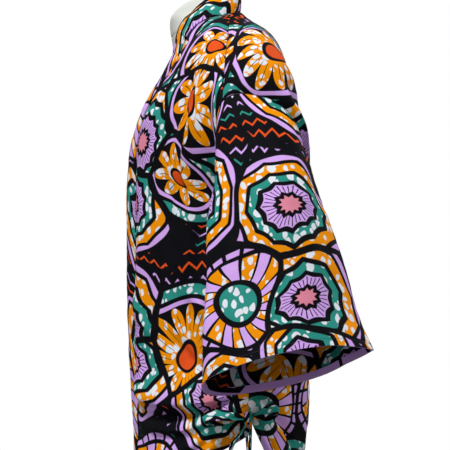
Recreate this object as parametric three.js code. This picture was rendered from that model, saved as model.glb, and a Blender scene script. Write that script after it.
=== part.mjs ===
// A kimono jacket of stiff printed cotton on a limbless dress form with a low round base.
// Millimetres, +Z up. The jacket faces -Y, the wearer's left is +X, and the origin is the
// centre of the base's underside. Heights are written as drops below the neck point, where
// the neckband meets the shoulder seam.
import * as THREE from "three";

// Driving sizes
const neckPointHeight = 890;
const cloth = 1.8; // wall of one panel
const bandCloth = 2.6; // the neckband is folded double
const seamGap = 0.3; // between two pieces that are sewn together
const restGap = 2.6; // between the cloth and the form it lies on
const bandWidth = 48;
const tieWidth = 20;
const baseRadius = 150;
const baseThick = 12;
const poleRadius = 13;

const at = (x, y, drop) => new THREE.Vector3(x, y, neckPointHeight - drop);
const mix = THREE.MathUtils.lerp;
const clamp = THREE.MathUtils.clamp;
const ease = (t) => THREE.MathUtils.smoothstep(t, 0, 1);
const radians = THREE.MathUtils.degToRad;

// Smooth value between the rows of a table, by the column that is named as its key.
function readTable(rows, key, value, column) {
  const last = rows.length - 1;
  if (value <= rows[0][key]) return rows[0][column];
  if (value >= rows[last][key]) return rows[last][column];
  const i = rows.findIndex((row) => row[key] > value) - 1;
  const slope = (k) => {
    const before = rows[Math.max(k - 1, 0)];
    const after = rows[Math.min(k + 1, last)];
    return (after[column] - before[column]) / (after[key] - before[key]);
  };
  const span = rows[i + 1][key] - rows[i][key];
  const t = (value - rows[i][key]) / span;
  return hermite(rows[i][column], slope(i) * span, rows[i + 1][column], slope(i + 1) * span, t);
}

function hermite(start, leave, end, arrive, t) {
  const s = 1 - t;
  return s * s * (1 + 2 * t) * start + s * s * t * leave + t * t * (3 - 2 * t) * end - t * t * s * arrive;
}

// ---- The dress form ----

// Sections of the torso: half width, front and back depth, the depth of its widest point,
// and how square the section is, where 2 is an ellipse.
const formRows = [
  { drop: -38, wide: 12, front: -14, back: 6, middle: -4, square: 2 },
  { drop: -35, wide: 24, front: -19, back: 16, middle: -6, square: 2 },
  { drop: -29, wide: 35, front: -25, back: 22, middle: -8, square: 2 },
  { drop: -23, wide: 42, front: -33, back: 25, middle: -10, square: 2 },
  { drop: -16, wide: 47, front: -46, back: 27, middle: -12, square: 2 },
  { drop: -8, wide: 50, front: -57, back: 29, middle: -13, square: 2 },
  { drop: 2, wide: 54, front: -66, back: 32, middle: -12, square: 2 },
  { drop: 8, wide: 62, front: -69, back: 35, middle: -6, square: 1.95 },
  { drop: 14, wide: 77, front: -70, back: 39, middle: 4, square: 1.8 },
  { drop: 22, wide: 97, front: -70, back: 46, middle: 12, square: 1.65 },
  { drop: 32, wide: 119, front: -69, back: 57, middle: 18, square: 1.6 },
  { drop: 44, wide: 140, front: -67, back: 70, middle: 20, square: 1.6 },
  { drop: 58, wide: 158, front: -65, back: 83, middle: 20, square: 1.65 },
  { drop: 76, wide: 173, front: -66, back: 96, middle: 18, square: 1.7 },
  { drop: 98, wide: 182, front: -70, back: 106, middle: 16, square: 1.8 },
  { drop: 128, wide: 186, front: -79, back: 113, middle: 14, square: 1.9 },
  { drop: 165, wide: 184, front: -91, back: 117, middle: 12, square: 2 },
  { drop: 212, wide: 177, front: -106, back: 117, middle: 8, square: 2.05 },
  { drop: 262, wide: 167, front: -114, back: 113, middle: 4, square: 2.1 },
  { drop: 312, wide: 150, front: -108, back: 105, middle: 3, square: 2.1 },
  { drop: 390, wide: 124, front: -84, back: 93, middle: 6, square: 2.1 },
  { drop: 470, wide: 146, front: -90, back: 108, middle: 8, square: 2.1 },
  { drop: 545, wide: 166, front: -98, back: 124, middle: 10, square: 2.2 },
  { drop: 600, wide: 168, front: -97, back: 126, middle: 10, square: 2.2 },
  { drop: 620, wide: 165, front: -94, back: 123, middle: 10, square: 2.2 },
  { drop: 630, wide: 157, front: -86, back: 115, middle: 10, square: 2.2 },
];

function formSection(drop) {
  const read = (column) => readTable(formRows, "drop", drop, column);
  return { wide: read("wide"), front: read("front"), back: read("back"), middle: read("middle"), square: read("square") };
}

function formPoint(angle, drop) {
  const s = formSection(drop);
  const c = Math.cos(angle);
  const d = Math.sin(angle);
  const reach = (Math.abs(c) ** s.square + Math.abs(d) ** s.square) ** (-1 / s.square);
  const depth = d > 0 ? s.back - s.middle : s.middle - s.front;
  return at(s.wide * reach * c, s.middle + depth * reach * d, drop);
}

// 1 on the form's surface, less inside it and more outside.
function formRatio(p) {
  const s = formSection(neckPointHeight - p.z);
  const depth = p.y > s.middle ? s.back - s.middle : s.middle - s.front;
  const across = Math.abs(p.x) / s.wide;
  const along = Math.abs(p.y - s.middle) / depth;
  return (across ** s.square + along ** s.square) ** (1 / s.square);
}

// Moves a point of the cloth out of the form until it is clear of it.
function clearOfForm(p, clear) {
  const top = neckPointHeight - formRows[0].drop;
  const foot = neckPointHeight - formRows[formRows.length - 1].drop;
  const moved = p.clone();
  const step = 0.5;
  for (let n = 0; n < 12 && moved.z < top && moved.z > foot; n++) {
    const slope = new THREE.Vector3();
    for (const axis of ["x", "y", "z"]) {
      const a = moved.clone();
      const b = moved.clone();
      a[axis] += step;
      b[axis] -= step;
      slope[axis] = (formRatio(a) - formRatio(b)) / (2 * step);
    }
    const steep = slope.length();
    const short = clear - (formRatio(moved) - 1) / steep;
    if (short < 0.02) break;
    moved.addScaledVector(slope, (0.8 * Math.min(short, 12)) / steep);
  }
  return moved;
}

// ---- Solids from surfaces ----

// A closed solid from rings of points, each ring counter-clockwise seen from above, top ring first.
function solidOfRings(rings) {
  const around = rings[0].length;
  const points = rings.flat();
  const faces = [];
  for (let i = 0; i < rings.length - 1; i++)
    for (let j = 0; j < around; j++) {
      const k = (j + 1) % around;
      const [a, b, c, d] = [i * around + j, i * around + k, (i + 1) * around + j, (i + 1) * around + k];
      faces.push([a, c, b], [b, c, d]);
    }
  for (const [first, up] of [[0, true], [(rings.length - 1) * around, false]]) {
    const centre = points.length;
    points.push(points.slice(first, first + around).reduce((sum, p) => sum.add(p), new THREE.Vector3()).divideScalar(around));
    for (let j = 0; j < around; j++) {
      const [a, b] = [first + j, first + ((j + 1) % around)];
      faces.push(up ? [centre, a, b] : [centre, b, a]);
    }
  }
  return geometryOf(points, faces);
}

function geometryOf(points, faces) {
  const flat = new Float32Array(points.length * 3);
  points.forEach((p, i) => p.toArray(flat, i * 3));
  return new THREE.BufferGeometry()
    .setAttribute("position", new THREE.BufferAttribute(flat, 3))
    .setIndex(faces.flat());
}

// A wall on both sides of a surface of u and v, whose right-hand normal points out of the jacket.
// grid is the number of steps across and down; a looped wall closes on itself across.
function wall(surface, grid, thick, { looped = false } = {}) {
  const { across, down } = grid;
  const columns = looped ? across : across + 1;
  const small = 1e-3;
  const inner = [];
  const outer = [];
  for (let j = 0; j <= down; j++)
    for (let i = 0; i < columns; i++) {
      const u = i / across;
      const v = j / down;
      const alongU = surface(looped ? u + small : Math.min(u + small, 1), v)
        .sub(surface(looped ? u - small : Math.max(u - small, 0), v));
      const alongV = surface(u, Math.min(v + small, 1)).sub(surface(u, Math.max(v - small, 0)));
      const normal = alongV.cross(alongU).normalize();
      const p = surface(u, v);
      inner.push(p.clone().addScaledVector(normal, -thick / 2));
      outer.push(p.clone().addScaledVector(normal, thick / 2));
    }
  const count = inner.length;
  const index = (i, j) => j * columns + (looped ? i % across : i);
  const faces = [];
  for (let j = 0; j < down; j++)
    for (let i = 0; i < across; i++) {
      const [a, b, c, d] = [index(i, j), index(i + 1, j), index(i, j + 1), index(i + 1, j + 1)];
      faces.push([a + count, c + count, b + count], [b + count, c + count, d + count]);
      faces.push([a, b, c], [b, d, c]);
    }
  const rim = (a, b) => faces.push([a, a + count, b], [b, a + count, b + count]);
  for (let i = 0; i < across; i++) {
    rim(index(i, 0), index(i + 1, 0));
    rim(index(i + 1, down), index(i, down));
  }
  if (!looped)
    for (let j = 0; j < down; j++) {
      rim(index(0, j + 1), index(0, j));
      rim(index(across, j), index(across, j + 1));
    }
  return geometryOf([...inner, ...outer], faces);
}

// Keeps a surface back from its edges, given the millimetres to leave at each of them.
function inset(surface, { left = 0, right = 0, top = 0, foot = 0 }) {
  const lengthAcross = (v) => polyline((t) => surface(t, v));
  const lengthDown = (u) => polyline((t) => surface(u, t));
  const acrossTop = lengthAcross(0.1);
  const acrossFoot = lengthAcross(0.9);
  const downLeft = lengthDown(0.1);
  const downRight = lengthDown(0.9);
  return (u, v) => {
    const wide = mix(acrossTop, acrossFoot, v);
    const tall = mix(downLeft, downRight, u);
    return surface(mix(left / wide, 1 - right / wide, u), mix(top / tall, 1 - foot / tall, v));
  };
}

function polyline(curve, steps = 24) {
  let length = 0;
  for (let i = 0; i < steps; i++) length += curve(i / steps).distanceTo(curve((i + 1) / steps));
  return length;
}

// A surface through curves of u at the stations in v.
function loft(rows) {
  const last = rows.length - 1;
  return (u, v) => {
    const found = rows.findIndex((row) => row.v > v);
    const i = clamp((found < 0 ? rows.length : found) - 1, 0, last - 1);
    const points = [i - 1, i, i + 1, i + 2].map((k) => rows[clamp(k, 0, last)].curve(u));
    const places = [i - 1, i, i + 1, i + 2].map((k) => rows[clamp(k, 0, last)].v);
    const span = places[2] - places[1];
    const t = (v - places[1]) / span;
    const out = new THREE.Vector3();
    for (const axis of ["x", "y", "z"]) {
      const leave = ((points[2][axis] - points[0][axis]) / (places[2] - places[0])) * span;
      const arrive = ((points[3][axis] - points[1][axis]) / (places[3] - places[1])) * span;
      out[axis] = hermite(points[1][axis], leave, points[2][axis], arrive, t);
    }
    return out;
  };
}

// ---- Seams that two pieces share ----

// The left armhole: a rounded loop. Angle 0 is its top, 90 its back, 180 the underarm.
const armhole = {
  centre: at(220, 75, 235),
  up: new THREE.Vector3(0.42, -0.11, 0.9).normalize(),
  back: new THREE.Vector3(0.02, 0.98, -0.18).normalize(),
  tall: 90,
  wide: 66,
  square: 2.7,
};
const shoulderAngle = -45; // where the shoulder seam meets the armhole
const underarmAngle = 180;

function armholePoint(degrees) {
  const a = radians(degrees);
  const c = Math.cos(a);
  const s = Math.sin(a);
  const n = armhole.square;
  const reach = (Math.abs(c) ** n + Math.abs(s) ** n) ** (-1 / n);
  return armhole.centre.clone()
    .addScaledVector(armhole.up, armhole.tall * reach * c)
    .addScaledVector(armhole.back, armhole.wide * reach * s);
}

const neckPoint = at(76, 29, 10);
const shoulderTip = armholePoint(shoulderAngle);

// The shoulder seam, from the neck point over the form's shoulder and down to the armhole.
function shoulderSeam(t) {
  const leave = new THREE.Vector3(282, -4, -102);
  const arrive = new THREE.Vector3(112, -6, -215);
  const out = new THREE.Vector3();
  for (const axis of ["x", "y", "z"])
    out[axis] = hermite(neckPoint[axis], leave[axis], shoulderTip[axis], arrive[axis], t);
  return out;
}

// A quarter of a rounded section from one point to another, seen from above.
function quarter(from, to, square, dropLate) {
  return (u) => {
    const a = (u * Math.PI) / 2;
    const reach = (Math.abs(Math.cos(a)) ** square + Math.abs(Math.sin(a)) ** square) ** (-1 / square);
    return new THREE.Vector3(
      mix(from.x, to.x, reach * Math.sin(a)),
      mix(to.y, from.y, reach * Math.cos(a)),
      mix(from.z, to.z, Math.max(u, 0) ** dropLate),
    );
  };
}

// The side seam, from the underarm to the vent, and the two vent edges below it. The front's
// leans forward and the back's falls away behind.
const frontSideRows = [
  { drop: 316, x: 182, y: 85 },
  { drop: 350, x: 181, y: 80 },
  { drop: 400, x: 181, y: 74 },
  { drop: 480, x: 184, y: 65 },
  { drop: 570, x: 191, y: 58 },
  { drop: 634, x: 197, y: 57 },
  { drop: 668, x: 195, y: 61 },
];
const backSideRows = [
  ...frontSideRows.slice(0, -1),
  { drop: 650, x: 196, y: 62 },
  { drop: 700, x: 191, y: 84 },
  { drop: 756, x: 178, y: 103 },
];
const sideSeam = (rows, drop) => at(readTable(rows, "drop", drop, "x"), readTable(rows, "drop", drop, "y"), drop);

// The left front, a row for each station from the shoulder to the hem. The row's outer end is
// on the armhole where an angle is given, and on the side where a drop is.
const frontRows = [
  { v: 0.05, bandX: 93, bandY: -3, bandDrop: 23, angle: -58, square: 1.6, late: 1.6 },
  { v: 0.11, bandX: 93, bandY: -38, bandDrop: 58, angle: -74, square: 1.55, late: 1.5 },
  { v: 0.18, bandX: 88, bandY: -75, bandDrop: 117, angle: -100, square: 1.55, late: 1.3 },
  { v: 0.25, bandX: 80, bandY: -104, bandDrop: 165, angle: -126, square: 1.6, late: 1.1 },
  { v: 0.32, bandX: 73, bandY: -119, bandDrop: 215, angle: -152, square: 1.65, late: 1 },
  { v: 0.4, bandX: 70, bandY: -122, bandDrop: 272, angle: -180, square: 1.7, late: 1 },
  { v: 0.5, bandX: 70, bandY: -121, bandDrop: 355, sideDrop: 385, square: 1.8, late: 1 },
  { v: 0.63, bandX: 70, bandY: -122, bandDrop: 462, sideDrop: 480, square: 1.85, late: 1 },
  { v: 0.78, bandX: 70, bandY: -120, bandDrop: 590, sideDrop: 570, square: 1.9, late: 1 },
  { v: 0.9, bandX: 70, bandY: -115, bandDrop: 690, sideDrop: 634, square: 1.9, late: 1.3 },
  { v: 1, bandX: 70, bandY: -111, bandDrop: 768, sideDrop: 667, square: 1.9, late: 1.7 },
];

// The left half of the back, from the neck to the hem.
const backRows = [
  { v: 0.04, spineY: 74, spineDrop: 26, angle: -15, square: 2.6, late: 2.3 },
  { v: 0.09, spineY: 102, spineDrop: 52, angle: 20, square: 2.8, late: 2 },
  { v: 0.14, spineY: 119, spineDrop: 88, angle: 50, square: 3, late: 1.7 },
  { v: 0.2, spineY: 129, spineDrop: 130, angle: 82, square: 3, late: 1.3 },
  { v: 0.26, spineY: 136, spineDrop: 180, angle: 115, square: 3, late: 1.1 },
  { v: 0.33, spineY: 141, spineDrop: 235, angle: 148, square: 2.8, late: 1 },
  { v: 0.41, spineY: 143, spineDrop: 300, angle: 180, square: 2.6, late: 1 },
  { v: 0.51, spineY: 144, spineDrop: 382, sideDrop: 385, square: 2.3, late: 1 },
  { v: 0.64, spineY: 147, spineDrop: 480, sideDrop: 480, square: 2.2, late: 1 },
  { v: 0.77, spineY: 153, spineDrop: 580, sideDrop: 570, square: 2.2, late: 1 },
  { v: 0.86, spineY: 156, spineDrop: 648, sideDrop: 640, square: 2.1, late: 1 },
  { v: 0.93, spineY: 145, spineDrop: 714, sideDrop: 700, square: 2.1, late: 1 },
  { v: 1, spineY: 120, spineDrop: 782, sideDrop: 756, square: 2.2, late: 1 },
];

// The outer edge of a panel at any station: along the armhole to the underarm, then down the side.
function outerEdge(rows, sideRows, topAngle) {
  const onArmhole = [{ v: 0, angle: topAngle }, ...rows.filter((row) => "angle" in row)];
  const under = onArmhole[onArmhole.length - 1];
  const onSide = [{ v: under.v, sideDrop: sideRows[0].drop }, ...rows.filter((row) => "sideDrop" in row)];
  return (v) => {
    if (v <= under.v) return armholePoint(readTable(onArmhole, "v", v, "angle"));
    return sideSeam(sideRows, readTable(onSide, "v", v, "sideDrop"));
  };
}

// A panel lofted through its rows, drawn to its true outer edge.
function panel(top, rows, edge, inner) {
  const lofted = loft([
    { v: 0, curve: top },
    ...rows.map((row) => ({ v: row.v, curve: quarter(inner(row), edge(row.v), row.square, row.late) })),
  ]);
  return (u, v) => {
    const miss = edge(v).sub(lofted(1, v));
    return lofted(u, v).addScaledVector(miss, Math.max(u, 0) ** 3);
  };
}

const frontEdge = outerEdge(frontRows, frontSideRows, shoulderAngle);
const backEdge = outerEdge(backRows, backSideRows, shoulderAngle);
const leftFront = panel(shoulderSeam, frontRows, frontEdge, (row) => at(row.bandX, row.bandY, row.bandDrop));

// The back's upper edge: round the neck to the neck point, then along the shoulder seam.
const neckShare = 0.24;
const spineTop = at(0, 45, -3);
function backTop(u) {
  if (u > neckShare) return shoulderSeam((u - neckShare) / (1 - neckShare));
  const a = (u / neckShare) * (Math.PI / 2);
  const reach = (Math.abs(Math.cos(a)) ** 2.6 + Math.abs(Math.sin(a)) ** 2.6) ** (-1 / 2.6);
  return new THREE.Vector3(
    neckPoint.x * reach * Math.sin(a),
    mix(neckPoint.y, spineTop.y, reach * Math.cos(a)),
    mix(spineTop.z, neckPoint.z, ease(u / neckShare)),
  );
}

const halfBack = panel(backTop, backRows, backEdge, (row) => at(0, row.spineY, row.spineDrop));

// ---- The sleeve ----

const cuff = {
  centre: at(340, 110, 555),
  up: new THREE.Vector3(0.892, 0, 0.452).normalize(),
  back: new THREE.Vector3(0, 0.976, 0.218).normalize(),
  tall: 67,
  wide: 128,
  square: 2.1,
  backPress: 0.78,
};

function cuffPoint(degrees) {
  const a = radians(degrees);
  const c = Math.cos(a);
  const s = Math.sin(a);
  const reach = (Math.abs(c) ** cuff.square + Math.abs(s) ** cuff.square) ** (-1 / cuff.square);
  const pressed = 1 - cuff.backPress * Math.max(s, 0) ** 2.7; // flatter towards the back fold
  return cuff.centre.clone()
    .addScaledVector(cuff.up, cuff.tall * reach * c * pressed)
    .addScaledVector(cuff.back, cuff.wide * reach * s);
}

function leftSleeve(u, v) {
  const degrees = u * 360;
  const from = armholePoint(degrees);
  const to = cuffPoint(degrees);
  const outer = (1 + Math.cos(radians(degrees))) / 2; // 1 along the top, 0 along the underarm
  const length = from.distanceTo(to);
  const behind = Math.max(Math.sin(radians(degrees)), 0);
  const leave = new THREE.Vector3(mix(0.8, 0.5, outer), 0.3 * behind, mix(-0.6, -0.86, outer)).setLength(length * mix(0.45, 1, outer));
  const arrive = to.clone().sub(from).setLength(length);
  const out = new THREE.Vector3();
  for (const axis of ["x", "y", "z"]) out[axis] = hermite(from[axis], leave[axis], to[axis], arrive[axis], v);
  return out;
}

// ---- Folds ----

// The largest folds of each piece, each from one point of its surface to another. A fold is high
// where it stands out and low where it sinks, and it fades towards both ends.
const frontFolds = [
  { fromU: 0.5, fromV: 0.12, toU: 0.52, toV: 0.58, wide: 16, high: 6 },
  { fromU: 0.36, fromV: 0.14, toU: 0.38, toV: 0.52, wide: 13, high: -4 },
  { fromU: 0.05, fromV: 0.86, toU: 0.98, toV: 0.84, wide: 20, high: 6 },
  { fromU: 0.1, fromV: 0.95, toU: 0.96, toV: 0.86, wide: 15, high: -5 },
  { fromU: 0.35, fromV: 1.02, toU: 0.94, toV: 0.88, wide: 15, high: 5 },
  { fromU: 0.6, fromV: 0.6, toU: 0.97, toV: 0.86, wide: 18, high: 5 },
];
const backFolds = [
  { fromU: 0.9, fromV: 0.12, toU: 0.86, toV: 0.36, wide: 18, high: 7 },
  { fromU: 0.74, fromV: 0.1, toU: 0.66, toV: 0.42, wide: 20, high: -5 },
  { fromU: 0.3, fromV: 0.56, toU: 0.26, toV: 1.02, wide: 24, high: 5 },
  { fromU: 0.72, fromV: 0.99, toU: 0.97, toV: 0.83, wide: 15, high: 6 },
  { fromU: 0.5, fromV: 0.92, toU: 0.95, toV: 0.82, wide: 16, high: -5 },
];
const sleeveFolds = [
  { fromU: 0.12, fromV: 0.25, toU: 0.15, toV: 1.05, wide: 26, high: 5 },
  { fromU: 0.23, fromV: 0.35, toU: 0.27, toV: 1.05, wide: 24, high: -5 },
  { fromU: 0.9, fromV: 0.1, toU: 0.88, toV: 0.9, wide: 22, high: -4 },
];

// Moves a surface out along its normal by its folds.
function folded(surface, folds) {
  const ends = folds.map((fold) => [surface(fold.fromU, clamp(fold.fromV, 0, 1)), surface(fold.toU, clamp(fold.toV, 0, 1))]);
  const small = 1e-3;
  return (u, v) => {
    const p = surface(u, v);
    let rise = 0;
    folds.forEach((fold, i) => {
      const [from, to] = ends[i];
      const line = to.clone().sub(from);
      const along = p.clone().sub(from).dot(line) / line.lengthSq();
      if (along <= 0 || along >= 1.15) return;
      const aside = p.distanceTo(from.clone().addScaledVector(line, along)) / fold.wide;
      rise += fold.high * Math.exp(-aside * aside) * ease(along / 0.25) * ease((1.15 - along) / 0.3);
    });
    const alongU = surface(u + small, v).sub(surface(u - small, v));
    const alongV = surface(u, Math.min(v + small, 1)).sub(surface(u, Math.max(v - small, 0)));
    return p.addScaledVector(alongV.cross(alongU).normalize(), rise);
  };
}

// ---- The neckband ----

// Its left half, from the hem of the left front to the back of the neck. The seam is the edge
// of the front or of the back at the same station, and the free edge stands away from it.
const bandRows = [
  { v: 0, aside: -46, ahead: -10, rise: 0 },
  { v: 0.13, aside: -47, ahead: -11, rise: 0 },
  { v: 0.26, aside: -47, ahead: -14, rise: 0 },
  { v: 0.38, aside: -47, ahead: -17, rise: 0 },
  { v: 0.5, aside: -47, ahead: -17, rise: 0 },
  { v: 0.58, aside: -46, ahead: -13, rise: 1 },
  { v: 0.65, aside: -46, ahead: -5, rise: 4 },
  { v: 0.72, aside: -46, ahead: -4, rise: 8 },
  { v: 0.79, aside: -43, ahead: -7, rise: 12 },
  { v: 0.85, aside: -34, ahead: -12, rise: 28 },
  { v: 0.9, aside: -13, ahead: -7, rise: 44 },
  { v: 0.95, aside: -6, ahead: -6, rise: 45 },
  { v: 1, aside: 0, ahead: -9, rise: 45 },
];
const bandTurn = 0.9; // where the seam passes from the front to the back, at the neck point

function bandSeam(v) {
  if (v <= bandTurn) return seatedFront(0, 1 - v / bandTurn);
  return seatedBack(neckShare * (1 - (v - bandTurn) / (1 - bandTurn)), 0);
}

function halfBand(u, v) {
  const read = (column) => readTable(bandRows, "v", v, column);
  const seam = bandSeam(v);
  const reach = new THREE.Vector3(read("aside"), read("ahead"), read("rise")).multiplyScalar(bandWidth / 48);
  const alongV = bandSeam(Math.min(v + 0.01, 1)).sub(bandSeam(Math.max(v - 0.01, 0)));
  const out = alongV.cross(reach).normalize();
  const swell = 5 * Math.sin(Math.PI * u); // it rolls a little away from the neck
  return clearOfForm(seam.addScaledVector(reach, u).addScaledVector(out, swell), restGap + bandCloth / 2);
}

// ---- Ties ----

// Each side is tied in a bow at the foot of its seam: a knot, two loops and two hanging ends.
const knot = { x: 204.6, y: 57, drop: 640, deep: 12, wide: 15, tall: 17 };
const loops = [
  { name: "front_loop", aimX: 0.06, aimY: -0.99, aimZ: 0.05, long: 62, open: 6.5 },
  { name: "back_loop", aimX: -0.12, aimY: 0.97, aimZ: 0.16, long: 40, open: 7 },
];
const ends = [
  { name: "front_end", startY: -3.6, endY: -26, endX: 4.5, foot: 742, turn: 14, sway: 0 },
  { name: "back_end", startY: 3.2, endY: 6, endX: 2, foot: 778, turn: 8, sway: -3 },
];

// ---- Pieces ----

const printed = new THREE.MeshStandardMaterial({ color: 0x7a5ba8, roughness: 0.85, metalness: 0 });
const formFinish = new THREE.MeshStandardMaterial({ color: 0xdcdfda, roughness: 0.55, metalness: 0 });
const steel = new THREE.MeshStandardMaterial({ color: 0xb9bcc0, roughness: 0.3, metalness: 1 });

const part = new THREE.Group();

function add(name, geometry, material) {
  const mesh = new THREE.Mesh(geometry, material);
  mesh.name = name;
  part.add(mesh);
}

const onForm = (surface, thick) => (u, v) => clearOfForm(surface(u, v), restGap + thick / 2);
const seatedFront = onForm(leftFront, cloth);
const seatedBack = onForm(halfBack, cloth);
const foldedFront = onForm(folded(leftFront, frontFolds), cloth);
const foldedBack = onForm(folded(halfBack, backFolds), cloth);
const foldedSleeve = folded(leftSleeve, sleeveFolds);

function addFronts() {
  const kept = inset(foldedFront, { left: 0.6, right: 0.6, top: 0.5, foot: 0 });
  const grid = { across: 15, down: 28 };
  add("left_front", wall(kept, grid, cloth), printed);
  add("right_front", mirrored(wall(kept, grid, cloth)), printed);
}

// Both halves of a surface that is the same on the wearer's right, as one, from left to right.
function bothSides(half) {
  return (u, v) => {
    const p = half(Math.abs(1 - 2 * u), v);
    return new THREE.Vector3(u < 0.5 ? p.x : -p.x, p.y, p.z);
  };
}

function addBack() {
  const kept = inset(bothSides(foldedBack), { left: 0.6, right: 0.6, top: 0.5, foot: 0 });
  add("back", wall((u, v) => kept(1 - u, v), { across: 28, down: 25 }, cloth), printed);
}

function addNeckband() {
  const whole = (u, v) => {
    const p = halfBand(mix(1.9 / bandWidth, 1, u), 1 - Math.abs(1 - 2 * v));
    return new THREE.Vector3(v < 0.5 ? p.x : -p.x, p.y, p.z);
  };
  add("neckband", wall((u, v) => whole(1 - u, v), { across: 3, down: 96 }, bandCloth), printed);
}

function addSleeves() {
  // The millimetres that its top is kept back from the armhole: more under the arm, where it turns.
  const start = (u) => mix(1.2, 5.4, (1 - Math.cos(2 * Math.PI * u)) / 2);
  const kept = (u, v) => foldedSleeve(u, mix(start(u) / 330, 1, v));
  const grid = { across: 34, down: 12 };
  add("left_sleeve", wall((u, v) => kept(1 - u, v), grid, cloth, { looped: true }), printed);
  add("right_sleeve", mirrored(wall((u, v) => kept(1 - u, v), grid, cloth, { looped: true })), printed);
}

// The same solid on the other side of the jacket.
function mirrored(geometry) {
  const copy = geometry.clone().applyMatrix4(new THREE.Matrix4().makeScale(-1, 1, 1));
  const order = copy.index.array;
  for (let i = 0; i < order.length; i += 3) [order[i + 1], order[i + 2]] = [order[i + 2], order[i + 1]];
  return copy;
}

function addTies() {
  const heart = at(knot.x, knot.y, knot.drop);
  const lump = new THREE.SphereGeometry(0.5, 12, 8).scale(knot.deep, knot.wide, knot.tall);
  addPair("tie_knot", lump.translate(...heart), printed);
  const tieCloth = 1.5;
  for (const loop of loops) {
    const aim = new THREE.Vector3(loop.aimX, loop.aimY, loop.aimZ).normalize();
    const out = new THREE.Vector3(1, 0, 0).addScaledVector(aim, -aim.x).normalize();
    const up = aim.clone().cross(out).normalize();
    const start = heart.clone().addScaledVector(aim, knot.wide / 2 + 0.9);
    const path = (u, v) => {
      const turn = 2 * Math.PI * v;
      const along = (1 - Math.cos(turn)) / 2;
      const off = Math.sin(turn) * loop.open * (0.35 + 0.65 * along) + 1.15 * Math.cos(turn / 2);
      const wide = tieWidth * mix(0.62, 1, ease(along * 2.5));
      return start.clone()
        .addScaledVector(aim, along * loop.long)
        .addScaledVector(out, off)
        .addScaledVector(up, (u - 0.5) * wide);
    };
    addPair("tie_" + loop.name, wall(path, { across: 2, down: 24 }, tieCloth), printed);
  }
  for (const end of ends) {
    const top = knot.drop + (knot.tall / 2) * Math.sqrt(1 - (2 * end.startY / knot.wide) ** 2) + 1;
    const turn = radians(end.turn);
    const path = (u, v) => {
      const wide = tieWidth * mix(0.5, 0.85, ease(v * 3));
      const swing = end.sway * Math.sin(Math.PI * v);
      return at(
        knot.x + end.endX * v + (u - 0.5) * wide * Math.cos(turn),
        knot.y + mix(end.startY, end.endY, ease(v * 2.2)) + swing + (u - 0.5) * wide * Math.sin(turn),
        mix(top, end.foot, v),
      );
    };
    addPair("tie_" + end.name, wall(path, { across: 2, down: 10 }, tieCloth), printed);
  }
}

function addPair(name, geometry, material) {
  add("left_" + name, geometry, material);
  add("right_" + name, mirrored(geometry), material);
}

function addForm() {
  const around = 32;
  const drops = [];
  formRows.forEach((row, i) => {
    drops.push(row.drop);
    const next = formRows[i + 1];
    if (next && next.drop - row.drop > 34) drops.push((row.drop + next.drop) / 2);
  });
  const rings = drops.map((drop) => Array.from({ length: around }, (_, j) => formPoint((j / around) * 2 * Math.PI, drop)));
  add("dress_form", solidOfRings(rings), formFinish);
}

function addStand() {
  const foot = neckPointHeight - formRows[formRows.length - 1].drop;
  const poleTop = foot - seamGap;
  const poleFoot = baseThick + seamGap;
  const pole = new THREE.CylinderGeometry(poleRadius, poleRadius, poleTop - poleFoot, 32);
  pole.rotateX(Math.PI / 2).translate(0, 0, (poleTop + poleFoot) / 2);
  add("pole", pole, steel);
  const edge = 3;
  const base = new THREE.LatheGeometry(
    [
      new THREE.Vector2(0, 0),
      new THREE.Vector2(baseRadius, 0),
      new THREE.Vector2(baseRadius, baseThick - edge),
      new THREE.Vector2(baseRadius - edge, baseThick),
      new THREE.Vector2(0, baseThick),
    ],
    48,
  );
  base.rotateX(Math.PI / 2);
  add("base", base, steel);
}

addForm();
addStand();
addFronts();
addBack();
addNeckband();
addSleeves();
addTies();

export default part;
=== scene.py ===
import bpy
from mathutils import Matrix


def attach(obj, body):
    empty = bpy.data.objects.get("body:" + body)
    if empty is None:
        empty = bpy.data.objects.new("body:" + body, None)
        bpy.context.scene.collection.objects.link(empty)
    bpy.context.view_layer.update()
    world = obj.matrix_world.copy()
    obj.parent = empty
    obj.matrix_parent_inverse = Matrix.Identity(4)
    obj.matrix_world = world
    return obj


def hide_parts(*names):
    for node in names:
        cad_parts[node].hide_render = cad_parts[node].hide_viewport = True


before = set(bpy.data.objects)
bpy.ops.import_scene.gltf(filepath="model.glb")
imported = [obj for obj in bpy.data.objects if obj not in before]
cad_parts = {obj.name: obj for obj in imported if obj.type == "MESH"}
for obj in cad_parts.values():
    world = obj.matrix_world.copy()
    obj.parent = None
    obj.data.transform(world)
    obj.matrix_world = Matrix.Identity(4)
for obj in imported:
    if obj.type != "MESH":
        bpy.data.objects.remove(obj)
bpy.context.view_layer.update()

import math
import bpy
import numpy as np
from mathutils import Vector
from mathutils.bvhtree import BVHTree

# Metres in Blender, but the cut and the folds are kept in millimetres here, as in the part.
# Heights are drops below the neck point. +X is the wearer's left and the jacket faces -Y.
print("start")
neckHeight = 890.0
clothThick = 1.1
restGap = 1.9
seamWide = 3.5
clothRipple = 1.4


def table(keys, *rows):  # rows of named values
    return [dict(zip(keys.split(), row)) for row in rows]


def at(x, y, drop):
    return np.array([x, y, neckHeight - drop], float)


def mix(a, b, t):
    return a + (b - a) * t


def ease(t):
    t = np.clip(t, 0, 1)
    return t * t * (3 - 2 * t)


def hermite(start, leave, end, arrive, t):
    s = 1 - t
    return s * s * (1 + 2 * t) * start + s * s * t * leave + t * t * (3 - 2 * t) * end - t * t * s * arrive


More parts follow.
